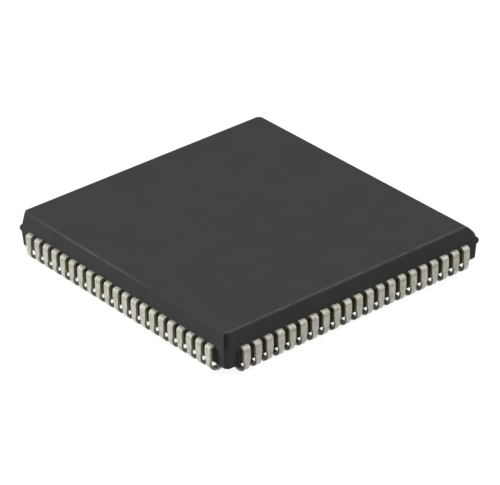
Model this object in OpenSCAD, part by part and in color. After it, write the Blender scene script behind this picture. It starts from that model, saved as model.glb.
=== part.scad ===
// Plastic leaded chip carrier: a moulded block with J-shaped leads on four sides.
// Millimetres. The origin is the centre of the seating plane, +Z is up, and the
// bevelled pin one edge faces +Y.

/* [Lead pattern] */
// Leads on each of the four sides
leads_per_side = 21; // [17:2:25]
// Spacing between lead centres
lead_pitch = 1.27; // [1.1:0.01:1.4]
// From the middle of an end lead to the next side wall
end_margin = 1.96; // [1.8:0.005:3]

/* [Moulded body] */
// Top face above the seating plane
overall_height = 4.3; // [4:0.01:4.9]
// Underside above the seating plane
standoff = 0.73; // [0.55:0.01:0.9]
// Lean of the upper walls, parting line to top face
upper_draft = 0.29; // [0.1:0.01:0.5]
// Lean of the lower walls, parting line to underside
lower_draft = 0.12; // [0.05:0.01:0.3]
// Width taken off the top face by the 45 degree pin one bevel
index_bevel = 1.01; // [0.3:0.01:1.2]
// Leg of the 45 degree cut on the pin one corner
index_corner = 1.25; // [0.8:0.01:1.6]
// Leg of the cut on the other three corners
corner_cut = 0.34; // [0.25:0.01:0.6]
// Leg to which that cut grows at the top of the bevel's other end
bevel_corner = 0.8; // [0.4:0.01:0.9]
// Rounding of the edges of the top face and the bevel
edge_radius = 0.28; // [0.1:0.01:0.35]
// Rounding of the edges of the underside
base_radius = 0.25; // [0.1:0.01:0.35]
// How far the lower walls are set back behind the leads
lead_relief = 0.14; // [0.04:0.01:0.3]
// Full-depth post left on each side of a corner
post_width = 1.1; // [0.8:0.01:1.2]
// Radius of the round nub on two opposite corners
nub_radius = 0.33; // [0.3:0.01:0.5]
// How far the nub stands out of its corner
nub_reach = 0.18; // [0.12:0.01:0.25]

/* [J leads] */
// Upper face of the leads above the seating plane
shoulder_height = 2.66; // [2.4:0.01:2.9]
// Sheet thickness of the lead frame
lead_thickness = 0.25; // [0.2:0.01:0.33]
// Lead width at the shoulder
lead_width = 0.74; // [0.6:0.01:0.85]
// Lead width at the foot
foot_width = 0.54; // [0.3:0.01:0.58]
// Straight run out of the wall before the shoulder bend
shoulder_run = 0.135; // [0.02:0.005:0.2]
// Outer radius of the shoulder bend
shoulder_radius = 0.32; // [0.3:0.01:0.6]
// Outer radius of the foot curl
curl_radius = 1; // [0.8:0.01:1.1]
// Air between the end of the curl and the underside
tip_clearance = 0.08; // [0.04:0.01:0.2]
// Height at which the lead starts to narrow
neck_top = 1.5; // [1.3:0.01:1.6]
// Height at which the lead is down to its foot width
neck_bottom = 1; // [0.8:0.01:1.15]

/* [Lead frame and chip] */
// Side of the square paddle
paddle_size = 8.4; // [7.6:0.1:9.6]
// Air between the paddle and the finger tips
tip_gap = 0.6; // [0.3:0.05:1]
// Finger width at the tip
tip_width = 0.2; // [0.12:0.01:0.24]
// Straight root of each finger inside the wall
finger_root = 0.8; // [0.5:0.05:1]
// From the end finger tip to the diagonal
corner_gap = 0.8; // [0.6:0.05:1.2]
// Width of the tie bars on the diagonals
tie_width = 0.4; // [0.2:0.02:0.5]
// Plastic between the end of a tie bar and the corner face
tie_cover = 0.3; // [0.1:0.05:0.6]
// Side of the square chip
die_size = 6.4; // [5:0.1:7.2]
// Thickness of the chip
die_thickness = 0.4; // [0.25:0.01:0.5]
// Thickness of the adhesive under the chip
attach_thickness = 0.03; // [0.02:0.005:0.06]
// Width and thickness of a bond wire
wire_size = 0.05; // [0.03:0.005:0.08]
// Rise of the wire loops above the chip
loop_height = 0.25; // [0.15:0.01:0.35]
// From the edge of the chip in to its bond pads
pad_inset = 0.15; // [0.1:0.01:0.3]
// From the end bond pad to the corner of the chip
pad_corner = 0.5; // [0.3:0.05:0.8]
// From the finger tip to the wire's stitch
stitch_inset = 0.3; // [0.15:0.05:0.5]

/* [Hidden] */
$fn = 48;
plastic = "#3a3a3a";
tin = "#b9b8ae";
copper = "#b87a4b";
silver = "#c9c9c4";
silicon = "#5b6470";
gold = "#d9b25f";
// Turn about Z that brings a row drawn along +X to each side
front = -90;
right = 0;
back = 90;
left = 180;
// Turn about Z to each corner, with the leg of its cut
CORNERS = [[-135, corner_cut], [-45, corner_cut], [45, corner_cut], [135, index_corner]];
// Turn about Z to the two corners that carry a nub
NUB_TURNS = [-135, 45];
// The end lead's number, counted from the middle of the row
last = (leads_per_side - 1) / 2;
// Half-widths of the body at the parting line, the top face and the underside
half_parting = last * lead_pitch + end_margin;
half_top = half_parting - upper_draft;
half_bottom = half_parting - lower_draft;
// The mould parts half way up the lead frame
parting_height = shoulder_height - lead_thickness / 2;
upper_height = overall_height - parting_height;
// Depth at which the 45 degree bevel meets the leaning wall
bevel_depth = index_bevel * upper_height / (upper_height - upper_draft);
bevel_foot = half_top + upper_draft * bevel_depth / upper_height;
// Outer face of the leads, and the angle by which the curl passes the foot
lead_face = half_parting + shoulder_run + shoulder_radius;
curl_angle = acos((curl_radius - standoff + tip_clearance) / (curl_radius - lead_thickness));
lead_underside = shoulder_height - lead_thickness;
die_floor = shoulder_height + attach_thickness;
die_top = die_floor + die_thickness;
finger_tip = paddle_size / 2 + tip_gap;
root_end = half_parting - finger_root;
tip_pitch = (finger_tip - corner_gap) / last;
pad_pitch = (die_size / 2 - pad_corner) / last;
pad_line = die_size / 2 - pad_inset;
stitch_line = finger_tip + stitch_inset;
// Spare length that carries a cut clear of the face it leaves by
over = 1;
// Flats that make up a rounded edge
edge_steps = 4;
// Edge roundings of a section with an underside, a parting line and a top face
section_radii = [base_radius, 0, edge_radius, edge_radius, 0, base_radius];

function unit(v) = v / norm(v);

// From the middle of a square out to the face of a cut corner
function corner_reach(half_side, cut) = (2 * half_side - cut) / sqrt(2);

// Across from a finger's own tip line to its root, at distance x from the middle
function finger_y(i, x) =
    i * (tip_pitch + (lead_pitch - tip_pitch) * (x - finger_tip) / (root_end - finger_tip));

// Round run of points that takes the place of corner p between its neighbours a and b
function rounded_corner(p, a, b, radius) =
    let (u = unit(a - p),
         v = unit(b - p),
         half_angle = acos(u * v) / 2,
         centre = p + unit(u + v) * radius / sin(half_angle),
         first = unit(p + u * radius / tan(half_angle) - centre),
         final = unit(p + v * radius / tan(half_angle) - centre))
    [for (k = [0 : edge_steps])
        centre + radius * unit(first * (1 - k / edge_steps) + final * k / edge_steps)];

// The outline with each corner rounded to its own radius, or left sharp where that is 0
function rounded_outline(points, radii) =
    let (count = len(points))
    [for (i = [0 : count - 1])
        each radii[i] > 0
            ? rounded_corner(points[i], points[(i + count - 1) % count], points[(i + 1) % count], radii[i])
            : [points[i]]];

// Section of the body, run through its whole depth along Y
module section_prism(points, radii = section_radii) {
    rotate([90, 0, 0])
        linear_extrude(4 * half_parting, center = true)
            polygon(rounded_outline(points, radii));
}

// Section along a diagonal, with a corner cut at each end, the near one with its own leg at the top
function diagonal_points(cut, top_cut, far_cut) = [
    [corner_reach(half_bottom, cut), standoff],
    [corner_reach(half_parting, cut), parting_height],
    [corner_reach(half_top, top_cut), overall_height],
    [-corner_reach(half_top, far_cut), overall_height],
    [-corner_reach(half_parting, far_cut), parting_height],
    [-corner_reach(half_bottom, far_cut), standoff]
];

module drafted_block() {
    side = [[half_bottom, standoff], [half_parting, parting_height], [half_top, overall_height],
            [-half_top, overall_height], [-half_parting, parting_height], [-half_bottom, standoff]];
    bevelled = [[half_bottom, standoff], [half_parting, parting_height],
                [bevel_foot, overall_height - bevel_depth], [half_top - index_bevel, overall_height],
                [-half_top, overall_height], [-half_parting, parting_height], [-half_bottom, standoff]];
    bevelled_radii = [base_radius, 0, edge_radius, edge_radius, edge_radius, 0, base_radius];
    intersection() {
        section_prism(side);
        rotate([0, 0, 90])
            section_prism(bevelled, bevelled_radii);
        rotate([0, 0, 45])
            section_prism(diagonal_points(corner_cut, bevel_corner, corner_cut));
        rotate([0, 0, -45])
            section_prism(diagonal_points(corner_cut, corner_cut, index_corner));
    }
}

// Round nub that swells out of a corner face, drawn on the +X axis
module corner_nub() {
    translate([corner_reach(half_parting, corner_cut) - nub_radius + nub_reach, 0, parting_height])
        sphere(nub_radius);
}

// Space taken off the lower wall behind one row of leads
module wall_relief() {
    width = 2 * (half_parting - post_width);
    rotate([90, 0, 0])
        linear_extrude(width, center = true)
            polygon([[half_parting - lead_relief, lead_underside],
                     [half_parting + over, lead_underside],
                     [half_parting + over, standoff - over],
                     [half_bottom - lead_relief, standoff - over],
                     [half_bottom - lead_relief, standoff]]);
}

// Flat finger that runs from the tip by the paddle out through the wall
module lead_finger(i, reach) {
    root = lead_width / 2;
    tip = tip_width / 2;
    translate([0, 0, lead_underside])
        linear_extrude(lead_thickness)
            polygon([[finger_tip, i * tip_pitch - tip], [root_end, i * lead_pitch - root],
                     [reach, i * lead_pitch - root], [reach, i * lead_pitch + root],
                     [root_end, i * lead_pitch + root], [finger_tip, i * tip_pitch + tip]]);
}

// Ring of sheet metal around the origin, kept inside the outline given as a child
module bent_strip(radius) {
    intersection() {
        difference() {
            circle(radius);
            circle(radius - lead_thickness);
        }
        children();
    }
}

// Side view of the lead outside the wall: shoulder bend, upright and foot curl
module lead_side() {
    far = 3 * curl_radius;
    translate([lead_face - shoulder_radius, shoulder_height - shoulder_radius])
        bent_strip(shoulder_radius)
            square(shoulder_radius);
    translate([lead_face - lead_thickness, curl_radius])
        square([lead_thickness, shoulder_height - shoulder_radius - curl_radius]);
    translate([lead_face - curl_radius, curl_radius])
        bent_strip(curl_radius)
            polygon([[0, 0], [far, 0], [far, -far], [-far * sin(curl_angle), -far * cos(curl_angle)]]);
}

// Front view of the lead: full width at the shoulder, drawn in to the foot
module lead_front_view() {
    half = lead_width / 2;
    foot = foot_width / 2;
    polygon([[-half, shoulder_height + over], [-half, neck_top], [-foot, neck_bottom], [-foot, -over],
             [foot, -over], [foot, neck_bottom], [half, neck_top], [half, shoulder_height + over]]);
}

module j_lead(i) {
    lead_finger(i, half_parting + shoulder_run);
    translate([0, i * lead_pitch, 0])
        intersection() {
            rotate([90, 0, 0])
                linear_extrude(lead_width, center = true)
                    lead_side();
            rotate([90, 0, 90])
                linear_extrude(lead_face + over)
                    lead_front_view();
        }
}

// Loop of wire in its own upright plane, from the bond pad to the finger
module bond_wire(i) {
    pad = [pad_line, i * pad_pitch];
    stitch = [stitch_line, finger_y(i, stitch_line)];
    span = norm(stitch - pad);
    w = wire_size;
    crest = die_top + loop_height;
    translate([pad[0], pad[1], 0])
        rotate([90, 0, atan2(stitch[1] - pad[1], stitch[0] - pad[0])])
            linear_extrude(w, center = true)
                polygon([[-w / 2, die_top], [-w / 2, crest], [span / 3, crest], [span + w, shoulder_height],
                         [span - w, shoulder_height], [span / 3 - w / 2, crest - w], [w / 2, crest - w],
                         [w / 2, die_top]]);
}

module leads(turn) {
    color(tin)
        rotate([0, 0, turn])
            for (i = [-last : last])
                j_lead(i);
}

module bond_wires(turn) {
    color(gold)
        rotate([0, 0, turn])
            for (i = [-last : last])
                bond_wire(i);
}

// Flat outline of the paddle with a tie bar out towards each corner
module paddle_outline() {
    square(paddle_size, center = true);
    for (corner = CORNERS)
        rotate(corner[0])
            translate([0, -tie_width / 2])
                square([corner_reach(half_parting, corner[1]) - tie_cover, tie_width]);
}

module die_paddle() {
    color(copper)
        translate([0, 0, lead_underside])
            linear_extrude(lead_thickness)
                paddle_outline();
}

module die_attach() {
    color(silver)
        translate([-die_size / 2, -die_size / 2, shoulder_height])
            cube([die_size, die_size, attach_thickness]);
}

module die() {
    color(silicon)
        translate([-die_size / 2, -die_size / 2, die_floor])
            cube([die_size, die_size, die_thickness]);
}

// Everything that the moulding flows around
module embedded() {
    for (turn = [front, right, back, left])
        rotate([0, 0, turn])
            for (i = [-last : last]) {
                lead_finger(i, half_parting + over);
                bond_wire(i);
            }
    die_paddle();
    die_attach();
    die();
}

module moulded_body() {
    color(plastic)
        difference() {
            union() {
                drafted_block();
                for (turn = NUB_TURNS)
                    rotate([0, 0, turn])
                        corner_nub();
            }
            for (turn = [front, right, back, left])
                rotate([0, 0, turn])
                    wall_relief();
            embedded();
        }
}

module leads_front() leads(front);
module leads_right() leads(right);
module leads_back() leads(back);
module leads_left() leads(left);
module bond_wires_front() bond_wires(front);
module bond_wires_right() bond_wires(right);
module bond_wires_back() bond_wires(back);
module bond_wires_left() bond_wires(left);

moulded_body();
leads_front();
leads_right();
leads_back();
leads_left();
die_paddle();
die_attach();
die();
bond_wires_front();
bond_wires_right();
bond_wires_back();
bond_wires_left();
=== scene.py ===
import math

import bpy
from mathutils import Matrix, Vector


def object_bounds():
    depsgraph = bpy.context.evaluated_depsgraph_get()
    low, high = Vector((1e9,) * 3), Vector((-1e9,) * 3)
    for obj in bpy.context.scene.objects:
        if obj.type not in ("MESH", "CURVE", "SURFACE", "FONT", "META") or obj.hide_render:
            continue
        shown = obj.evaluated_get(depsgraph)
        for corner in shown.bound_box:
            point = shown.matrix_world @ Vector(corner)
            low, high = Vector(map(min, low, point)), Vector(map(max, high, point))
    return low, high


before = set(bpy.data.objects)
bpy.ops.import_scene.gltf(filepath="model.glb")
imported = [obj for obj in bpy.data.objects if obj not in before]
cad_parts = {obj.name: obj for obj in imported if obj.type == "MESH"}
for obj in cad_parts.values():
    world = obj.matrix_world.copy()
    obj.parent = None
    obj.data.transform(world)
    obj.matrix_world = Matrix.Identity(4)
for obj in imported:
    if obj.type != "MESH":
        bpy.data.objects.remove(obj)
cad_low, cad_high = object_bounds()

MM = 0.001
BLACK = (0.0, 0.0, 0.0)
GREY = (0.3, 0.3, 0.3)
WHITE = (1.0, 1.0, 1.0)

# Camera: direction it looks from, turn about its own axis, reach and aim
AZIMUTH = 50.6355
ELEVATION = 29.5932
ROLL = -1.1679
DISTANCE = 297.481 * MM
AIM = Vector((0.9529, -0.5639, 2.2397)) * MM
IMAGE_WIDTH = 500
FOCAL_PIXELS = 3327.25
SENSOR_WIDTH = 36.0

# Lamps: turn from the camera and elevation in degrees, reach and width in metres, watts
SOFTBOXES = {
    "left_softbox": (-100, 28, 0.6, 0.5, 3.4),
    "right_softbox": (84, 55, 0.6, 0.3, 1.5),
    "top_softbox": (180, 80, 0.7, 0.5, 1.8),
}

# World: even fill on the part, grey of the sky overhead in reflections, and the rise over which it greys
FILL = 0.06
OVERHEAD = 0.15
SKY_RISE = (0.05, 0.45)

# Floor: half width, drop, tone that lights the part, and the tone and glow that it is seen with
FLOOR_HALF = 1.5
FLOOR_DROP = 0.01 * MM
PAPER = (0.8, 0.8, 0.8)
SHADOW_CATCH = (0.16, 0.16, 0.16)
FLOOR_GLOW = 0.92

# Moulding: tones of the plastic and of what shows on it
MOULDING_DARK = (0.0395, 0.041, 0.0403)
MOULDING_LIGHT = (0.0457, 0.0472, 0.0465)
SPECK = (0.02, 0.02, 0.02)
# Painted highlight on the rounded top edges, and how much glossier they are there
PAINTED_EDGE_HIGHLIGHT = (0.085, 0.087, 0.086)
PAINTED_EDGE_HIGHLIGHT_RIGHT = (0.105, 0.107, 0.106)
EDGE_HIGHLIGHT_GLOSS = 0.14
# Painted warm light on the lower walls behind the leads
PAINTED_RECESS_LIGHT = (0.085, 0.074, 0.05)
# Painted shade on the front corner's cut face
PAINTED_CORNER_SHADE = (0.016, 0.017, 0.0165)

# Moulding: where these lie
EDGE_HIGHLIGHT_FROM = cad_high[2] - 0.35 * MM
EDGE_HIGHLIGHT_SPAN = 15.0 * MM
RECESS_LIGHT_TOP = 2.62 * MM
RECESS_LIGHT_REACH = 13.2 * MM
CORNER_RISE = (2.5 * MM, 3.1 * MM)
CORNER_WIDTH = (-0.3 * MM, 0.4 * MM)
CORNER_SHARE = (0.95, 0.1)

# Moulding: parts of a face's normal that tell the faces apart
TURNED_RIGHT = 0.1
TURNED_TO_BEVEL = 0.6
TURNED_SIDEWAYS = 0.9
TURNED_TO_CORNER = 1.25

# Plating: tones of the faces, of the feet's tips (a painted reflection of the white floor) and of the sheared
# sides
PLATED = (0.51, 0.50, 0.445), (0.625, 0.615, 0.56), (0.72, 0.715, 0.675)
PAINTED_TIP_REFLECTION = (0.66, 0.655, 0.62), (0.88, 0.88, 0.86)
SHEARED = (0.33, 0.31, 0.215)

# Plating: tints of the drawn lines, the flecks, the feet (a painted reflection of the floor) and the single
# leads
DRAWN = (0.82, 0.82, 0.81)
FLECK_DARK = (0.93, 0.93, 0.92)
FLECK_LIGHT = (1.14, 1.14, 1.14)
PAINTED_FOOT_REFLECTION = (1.12, 1.12, 1.14)
LEAD_TINTS = [
    (0.93, 0.975, 0.84),
    (1.0, 0.965, 0.96),
    (0.92, 0.94, 0.85),
    (1.0, 1.01, 0.955),
    (0.985, 0.915, 0.925),
]

# Rows along X and along Y: tints of the shoulder (painted shading, darker on the X rows and lighter on the Y
# rows) and of the mark below it, and tone of the foot's sides
ROW_FINISH = {
    "X": {"shoulder": (0.86, 0.86, 0.86), "bend_mark": (0.92, 0.92, 0.9), "foot_side": (0.22, 0.21, 0.17)},
    "Y": {"shoulder": (1.2, 1.2, 1.22), "bend_mark": (0.76, 0.75, 0.72), "foot_side": (0.12, 0.11, 0.08)},
}
ROW_AXIS = {"front": "X", "right": "Y", "back": "X", "left": "Y"}

# Leads: places that the plating follows, and the rounding of their edges
LEAD_PITCH = 1.27 * MM
BEND_END = 2.29 * MM
MARK_FADE = (0.03 * MM, 0.13 * MM)
SIDE_FADE = (0.5 * MM, 1.2 * MM)
SIDE_TURN = (0.75, 0.95)
TONE_HEIGHT = 3.0 * MM
EDGE_ROUNDING = 0.025 * MM


def towards(azimuth, elevation):
    """Direction from the part, in degrees: round from -Y to +X, and up."""
    a, e = math.radians(azimuth), math.radians(elevation)
    return Vector((math.sin(a) * math.cos(e), -math.cos(a) * math.cos(e), math.sin(e)))


def add_camera():
    """Camera at the photograph's angle, with its roll."""
    azimuth, roll = math.radians(AZIMUTH), math.radians(ROLL)
    back = towards(AZIMUTH, ELEVATION)
    level = Vector((math.cos(azimuth), math.sin(azimuth), 0.0))
    upright = back.cross(level)
    right = math.cos(roll) * level + math.sin(roll) * upright
    up = math.cos(roll) * upright - math.sin(roll) * level
    data = bpy.data.cameras.new("camera")
    data.sensor_width = SENSOR_WIDTH
    data.lens = SENSOR_WIDTH * FOCAL_PIXELS / IMAGE_WIDTH
    data.clip_start = 0.01
    data.clip_end = 10.0
    camera = bpy.data.objects.new("camera", data)
    turn = Matrix((right, up, back)).transposed().to_4x4()
    camera.matrix_world = Matrix.Translation(AIM + back * DISTANCE) @ turn
    bpy.context.scene.collection.objects.link(camera)
    bpy.context.scene.camera = camera


class Nodes:
    """Short way to write the node tree of one material or world."""

    def __init__(self, owner):
        owner.use_nodes = True
        self.tree = owner.node_tree
        self.tree.nodes.clear()

    def add(self, kind, **settings):
        node = self.tree.nodes.new("ShaderNode" + kind)
        for key, value in settings.items():
            setattr(node, key, value)
        return node

    def feed(self, socket, value):
        """Gives an input another node's output or a value. Colours are written without alpha."""
        if isinstance(value, bpy.types.NodeSocket):
            self.tree.links.new(value, socket)
        elif socket.type == "RGBA":
            socket.default_value = (*value, 1.0)
        else:
            socket.default_value = value

    def put(self, node, **values):
        """Feeds inputs by name, with underscores for spaces."""
        for key, value in values.items():
            self.feed(node.inputs[key.replace("_", " ")], value)
        return node

    def result(self, kind, *values, **settings):
        """First output of a new node, whose first inputs are fed in order."""
        node = self.add(kind, **settings)
        for socket, value in zip(node.inputs, values):
            self.feed(socket, value)
        return node.outputs[0]

    def math(self, operation, first, second=0.0):
        return self.result("Math", first, second, operation=operation)

    def product(self, first, *others):
        for other in others:
            first = self.math("MULTIPLY", first, other)
        return first

    def mix(self, factor, first, second, blend="MIX"):
        """Mix of two colours."""
        node = self.add("Mix", data_type="RGBA", blend_type=blend)
        for index, value in ((0, factor), (6, first), (7, second)):
            self.feed(node.inputs[index], value)
        return node.outputs[2]

    def tinted(self, colour, *tints):
        """A colour multiplied by others."""
        for tint in tints:
            colour = self.mix(1.0, colour, tint, "MULTIPLY")
        return colour

    def ramp(self, factor, *stops):
        """Colour ramp: each stop is a position and a colour."""
        ramp = self.add("ValToRGB")
        elements = ramp.color_ramp.elements
        while len(elements) < len(stops):
            elements.new(1.0)
        for element, (position, colour) in zip(elements, stops):
            element.position = position
            element.color = (*colour, 1.0)
        self.put(ramp, Fac=factor)
        return ramp.outputs["Color"]

    def scaled(self, value, start, end, low=0.0, high=1.0):
        """Takes start to low and end to high, and holds those beyond."""
        node = self.add("MapRange")
        self.put(node, Value=value, From_Min=start, From_Max=end, To_Min=low, To_Max=high)
        return node.outputs["Result"]

    def spread(self, noise, low, high):
        """Takes a noise's middle range to low and high."""
        return self.scaled(noise, 0.3, 0.7, low, high)

    def noise(self, size, detail=3.0, roughness=0.5, stretch=(1.0, 1.0, 1.0)):
        """Noise in the part's own frame, whose patches are about size millimetres across."""
        place = self.add("TexCoord").outputs["Object"]
        mapping = self.put(self.add("Mapping"), Vector=place, Scale=stretch)
        noise = self.add("TexNoise")
        self.put(noise, Vector=mapping.outputs["Vector"], Scale=1 / (size * MM))
        self.put(noise, Detail=detail, Roughness=roughness)
        return noise.outputs["Fac"]

    def bump(self, height, depth, strength, under=None):
        """Bump of a real depth in millimetres, on top of another bump where one is given."""
        node = self.add("Bump")
        self.put(node, Height=height, Distance=depth * MM, Strength=strength)
        if under is not None:
            self.put(node, Normal=under)
        return node.outputs["Normal"]

    def axes(self, vector):
        """The three numbers of a vector, by axis name."""
        node = self.put(self.add("SeparateXYZ"), Vector=vector)
        return {axis: node.outputs[axis] for axis in "XYZ"}

    def place(self):
        """Where a point lies in the part's own frame, by axis name."""
        return self.axes(self.add("TexCoord").outputs["Object"])

    def facing(self):
        """Which way a face is turned, by axis name."""
        return self.axes(self.add("NewGeometry").outputs["True Normal"])


def surface(name, **values):
    """New material with one principled shader, and its nodes."""
    material = bpy.data.materials.new(name)
    nodes = Nodes(material)
    shader = nodes.add("BsdfPrincipled")
    nodes.put(nodes.add("OutputMaterial"), Surface=shader.outputs["BSDF"])
    nodes.put(shader, **values)
    return material, nodes, shader


def painted_edge_highlight(nodes, place, facing, right):
    """How much painted highlight the rounded top edges get, in patches: high on the rounding all along the +X
    edge, and lower on it along the others, most to the left of the middle. The bevel has none."""
    low_band = nodes.ramp(facing["Z"], (0.2, BLACK), (0.45, WHITE), (0.7, WHITE), (0.99, BLACK))
    high_band = nodes.ramp(facing["Z"], (0.55, BLACK), (0.85, WHITE), (0.988, WHITE), (0.996, BLACK))
    band = nodes.mix(right, low_band, high_band)
    rim = nodes.math("GREATER_THAN", place["Z"], EDGE_HIGHLIGHT_FROM)
    off_bevel = nodes.math("LESS_THAN", facing["Y"], TURNED_TO_BEVEL)
    along = nodes.scaled(place["X"], -EDGE_HIGHLIGHT_SPAN, EDGE_HIGHLIGHT_SPAN)
    amount = nodes.ramp(along, (0.05, GREY), (0.25, WHITE), (0.5, WHITE), (0.65, BLACK))
    amount = nodes.math("MAXIMUM", amount, right)
    patches = nodes.spread(nodes.noise(1.1, detail=4.0), 0.3, 1.0)
    return nodes.product(band, rim, off_bevel, patches, amount)


def painted_recess_light(nodes, place, facing):
    """1 on the lower walls behind the leads of the two X sides, which get a painted warm light."""
    below = nodes.math("LESS_THAN", place["Z"], RECESS_LIGHT_TOP)
    sideways = nodes.math("GREATER_THAN", nodes.math("ABSOLUTE", facing["X"]), TURNED_SIDEWAYS)
    in_row = nodes.math("LESS_THAN", nodes.math("ABSOLUTE", place["Y"]), RECESS_LIGHT_REACH)
    return nodes.product(below, sideways, in_row)


def painted_corner_shade(nodes, place, facing):
    """How much painted shade the cut face of the front corner gets: less and less from its -Y edge on, and
    none low down.
    """
    turn = nodes.math("SUBTRACT", facing["X"], facing["Y"])
    cut_face = nodes.math("GREATER_THAN", turn, TURNED_TO_CORNER)
    over = nodes.scaled(place["Z"], *CORNER_RISE)
    across = nodes.math("ADD", place["X"], place["Y"])
    return nodes.product(cut_face, over, nodes.scaled(across, *CORNER_WIDTH, *CORNER_SHARE))


def moulding_material():
    """Matt black epoxy moulding with a fine sparked grain, faint flow clouds, pale specks, a painted
    highlight on the rounded top edges, a painted warm light on the lower walls behind the leads and painted
    shade on one corner."""
    material, nodes, shader = surface("moulding_compound", Specular_IOR_Level=0.1)
    place, facing = nodes.place(), nodes.facing()
    clouds = nodes.noise(3.2, detail=4.0, roughness=0.6)
    colour = nodes.ramp(clouds, (0.3, MOULDING_DARK), (0.7, MOULDING_LIGHT))
    specks = nodes.ramp(nodes.noise(0.11, detail=1.0), (0.66, BLACK), (0.8, SPECK))
    colour = nodes.mix(1.0, colour, specks, "ADD")
    # Painted warm light on the lower walls behind the leads
    colour = nodes.mix(painted_recess_light(nodes, place, facing), colour, PAINTED_RECESS_LIGHT)
    # Painted shade on the front corner's cut face
    colour = nodes.mix(painted_corner_shade(nodes, place, facing), colour, PAINTED_CORNER_SHADE)
    right = nodes.math("GREATER_THAN", facing["X"], TURNED_RIGHT)
    # Painted highlight on the rounded top edges, lighter on the +X edge
    edge_highlight = painted_edge_highlight(nodes, place, facing, right)
    rough = nodes.spread(nodes.noise(0.8), 0.66, 0.72)
    pores = nodes.bump(nodes.noise(0.25), 0.006, 0.5)
    nodes.put(
        shader,
        Base_Color=nodes.mix(edge_highlight, colour, nodes.mix(right, PAINTED_EDGE_HIGHLIGHT, PAINTED_EDGE_HIGHLIGHT_RIGHT)),
        Roughness=nodes.math("SUBTRACT", rough, nodes.product(edge_highlight, EDGE_HIGHLIGHT_GLOSS)),
        Normal=nodes.bump(nodes.noise(0.07, detail=2.0), 0.004, 0.6, pores),
    )
    return material


def lead_tint(nodes, along_row):
    """Tint of the plating, which differs from lead to lead."""
    number = nodes.math("ROUND", nodes.math("DIVIDE", along_row, LEAD_PITCH))
    dice = nodes.put(nodes.add("TexWhiteNoise", noise_dimensions="1D"), W=number)
    last = len(LEAD_TINTS) - 1
    return nodes.ramp(dice.outputs["Value"], *((i / last, tint) for i, tint in enumerate(LEAD_TINTS)))


def plating_material(name, across, shoulder, bend_mark, foot_side):
    """Satin solder plating of the rows along one axis: it differs a little from lead to lead, is drawn out in
    faint lines along the lead, has dull sheared sides, a painted reflection of the floor on its feet and tips
    and painted shading on the shoulder, and is darker where the bend ends."""
    material, nodes, shader = surface(name, Metallic=0.45)
    place, facing = nodes.place(), nodes.facing()
    stretch = tuple(1.0 if axis == across else 0.06 for axis in "XYZ")
    lines = nodes.noise(0.06, detail=2.0, stretch=stretch)
    mottle = nodes.noise(0.45, detail=4.0, roughness=0.62)
    fine = nodes.noise(0.15, detail=1.0)
    plated = nodes.ramp(mottle, *zip((0.35, 0.5, 0.66), PLATED))
    drawn = nodes.ramp(lines, (0.3, DRAWN), (0.7, WHITE))
    flecks = nodes.ramp(fine, (0.4, FLECK_DARK), (0.6, WHITE), (0.72, FLECK_LIGHT))
    from_bend = nodes.math("ABSOLUTE", nodes.math("SUBTRACT", place["Z"], BEND_END))
    mark = nodes.ramp(nodes.scaled(from_bend, *MARK_FADE), (0.0, bend_mark), (1.0, WHITE))
    height = nodes.scaled(place["Z"], 0.0, TONE_HEIGHT)
    # Painted reflection of the floor low on the leads, and painted shading on the shoulder
    painted_light_and_shade_by_height = nodes.ramp(height, (0.2, PAINTED_FOOT_REFLECTION), (0.36, WHITE), (0.76, WHITE), (0.84, shoulder))
    face = nodes.tinted(plated, drawn, flecks, lead_tint(nodes, place[across]), mark, painted_light_and_shade_by_height)
    side = nodes.ramp(nodes.scaled(place["Z"], *SIDE_FADE), (0.0, foot_side), (1.0, SHEARED))
    is_side = nodes.scaled(nodes.math("ABSOLUTE", facing[across]), *SIDE_TURN)
    # Painted reflection of the white floor on the feet's tips
    tip_reflection = nodes.tinted(nodes.ramp(mottle, *zip((0.35, 0.66), PAINTED_TIP_REFLECTION)), drawn)
    is_tip = nodes.ramp(height, (0.03, WHITE), (0.09, BLACK))
    nodes.put(
        shader,
        Base_Color=nodes.mix(is_tip, nodes.mix(is_side, face, side), tip_reflection),
        Roughness=nodes.spread(mottle, 0.52, 0.66),
        Normal=nodes.bump(lines, 0.002, 0.5, nodes.bump(nodes.noise(0.14), 0.004, 0.4)),
    )
    return material


def plain_material(name, patch, dark, light, smooth, rough, metallic):
    """Material of a part inside the moulding: two tones in patches, with a roughness that follows them."""
    material, nodes, shader = surface(name, Metallic=metallic)
    patches = nodes.noise(patch)
    nodes.put(
        shader,
        Base_Color=nodes.ramp(patches, (0.3, dark), (0.7, light)),
        Roughness=nodes.spread(patches, smooth, rough),
        Normal=nodes.bump(nodes.noise(patch / 6), 0.002, 0.3),
    )
    return material


def dress(material, *names):
    """Puts a material on nodes of the part."""
    for name in names:
        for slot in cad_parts[name].material_slots:
            slot.material = material


def round_edges(node):
    """Joins the solid's flat faces and rounds its sharp edges."""
    weld = node.modifiers.new("weld", "WELD")
    weld.merge_threshold = 0.0005 * MM
    flat = node.modifiers.new("flat", "DECIMATE")
    flat.decimate_type = "DISSOLVE"
    flat.angle_limit = math.radians(0.5)
    bevel = node.modifiers.new("edges", "BEVEL")
    bevel.width = EDGE_ROUNDING
    bevel.segments = 2
    bevel.limit_method = "ANGLE"
    bevel.angle_limit = math.radians(40)


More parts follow.
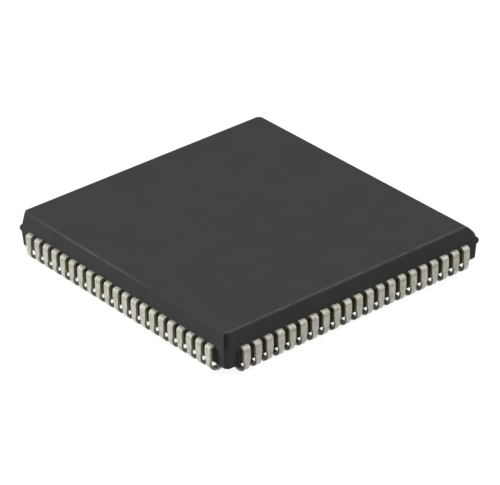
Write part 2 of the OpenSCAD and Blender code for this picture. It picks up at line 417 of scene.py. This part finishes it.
def finish_part():
    """Materials of every node, and the edges of the leads."""
    dress(moulding_material(), "moulded_body")
    plating = {}
    for axis, finish in ROW_FINISH.items():
        plating[axis] = plating_material("plating_" + axis.lower(), axis, **finish)
    for side, axis in ROW_AXIS.items():
        dress(plating[axis], "leads_" + side)
        round_edges(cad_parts["leads_" + side])
    copper = plain_material("frame_copper", 0.8, (0.62, 0.36, 0.22), (0.78, 0.46, 0.29), 0.28, 0.42, 1.0)
    adhesive = plain_material("adhesive", 0.3, (0.42, 0.42, 0.41), (0.56, 0.56, 0.55), 0.5, 0.7, 0.4)
    silicon = plain_material("silicon", 0.5, (0.10, 0.11, 0.14), (0.14, 0.15, 0.19), 0.12, 0.22, 0.6)
    gold = plain_material("gold", 0.2, (0.80, 0.56, 0.20), (0.92, 0.68, 0.28), 0.2, 0.3, 1.0)
    dress(copper, "die_paddle")
    dress(adhesive, "die_attach")
    dress(silicon, "die")
    dress(gold, *("bond_wires_" + side for side in ROW_AXIS))


def seen_as_background(nodes):
    """1 for the rays that see the background itself: straight, mirrored or through glass."""
    path = nodes.add("LightPath")
    straight = nodes.math("MAXIMUM", path.outputs["Is Camera Ray"], path.outputs["Is Glossy Ray"])
    return nodes.math("MAXIMUM", straight, path.outputs["Is Transmission Ray"])


def floor_material():
    """White that keeps a faint shadow, and is clear from below."""
    material = bpy.data.materials.new("floor")
    nodes = Nodes(material)
    paper = nodes.result("BsdfDiffuse", PAPER)
    shade = nodes.result("BsdfDiffuse", SHADOW_CATCH)
    glow = nodes.put(nodes.add("Emission"), Color=WHITE, Strength=FLOOR_GLOW)
    white = nodes.result("AddShader", shade, glow.outputs[0])
    above = nodes.result("MixShader", seen_as_background(nodes), paper, white)
    below = nodes.add("NewGeometry").outputs["Backfacing"]
    both = nodes.result("MixShader", below, above, nodes.result("BsdfTransparent"))
    nodes.put(nodes.add("OutputMaterial"), Surface=both)
    return material


def add_floor():
    mesh = bpy.data.meshes.new("floor")
    corners = [(x * FLOOR_HALF, y * FLOOR_HALF, 0) for x, y in ((-1, -1), (1, -1), (1, 1), (-1, 1))]
    mesh.from_pydata(corners, [], [(0, 1, 2, 3)])
    mesh.materials.append(floor_material())
    floor = bpy.data.objects.new("floor", mesh)
    floor.location.z = -FLOOR_DROP
    bpy.context.scene.collection.objects.link(floor)


def add_world():
    """White to the camera, greyer overhead in reflections, with a low even fill on the part."""
    world = bpy.data.worlds.new("studio")
    bpy.context.scene.world = world
    nodes = Nodes(world)
    rise = nodes.axes(nodes.add("TexCoord").outputs["Generated"])["Z"]
    sky = nodes.scaled(rise, *SKY_RISE, 1.0, OVERHEAD)
    strength = nodes.math("MAXIMUM", sky, nodes.add("LightPath").outputs["Is Camera Ray"])
    fill = nodes.put(nodes.add("Background"), Color=WHITE, Strength=FILL)
    white = nodes.put(nodes.add("Background"), Color=WHITE, Strength=strength)
    mixed = nodes.result("MixShader", seen_as_background(nodes), fill.outputs[0], white.outputs[0])
    nodes.put(nodes.add("OutputWorld"), Surface=mixed)


def add_softbox(name, turn, elevation, reach, width, watts):
    """Square lamp that faces the part."""
    back = towards(AZIMUTH + turn, elevation)
    data = bpy.data.lights.new(name, "AREA")
    data.shape = "SQUARE"
    data.size = width
    data.energy = watts
    lamp = bpy.data.objects.new(name, data)
    lamp.location = back * reach
    lamp.rotation_mode = "QUATERNION"
    lamp.rotation_quaternion = back.to_track_quat("Z", "Y")
    bpy.context.scene.collection.objects.link(lamp)


finish_part()
add_camera()
add_floor()
add_world()
for name, settings in SOFTBOXES.items():
    add_softbox(name, *settings)

bpy.context.scene.view_settings.view_transform = "Standard"
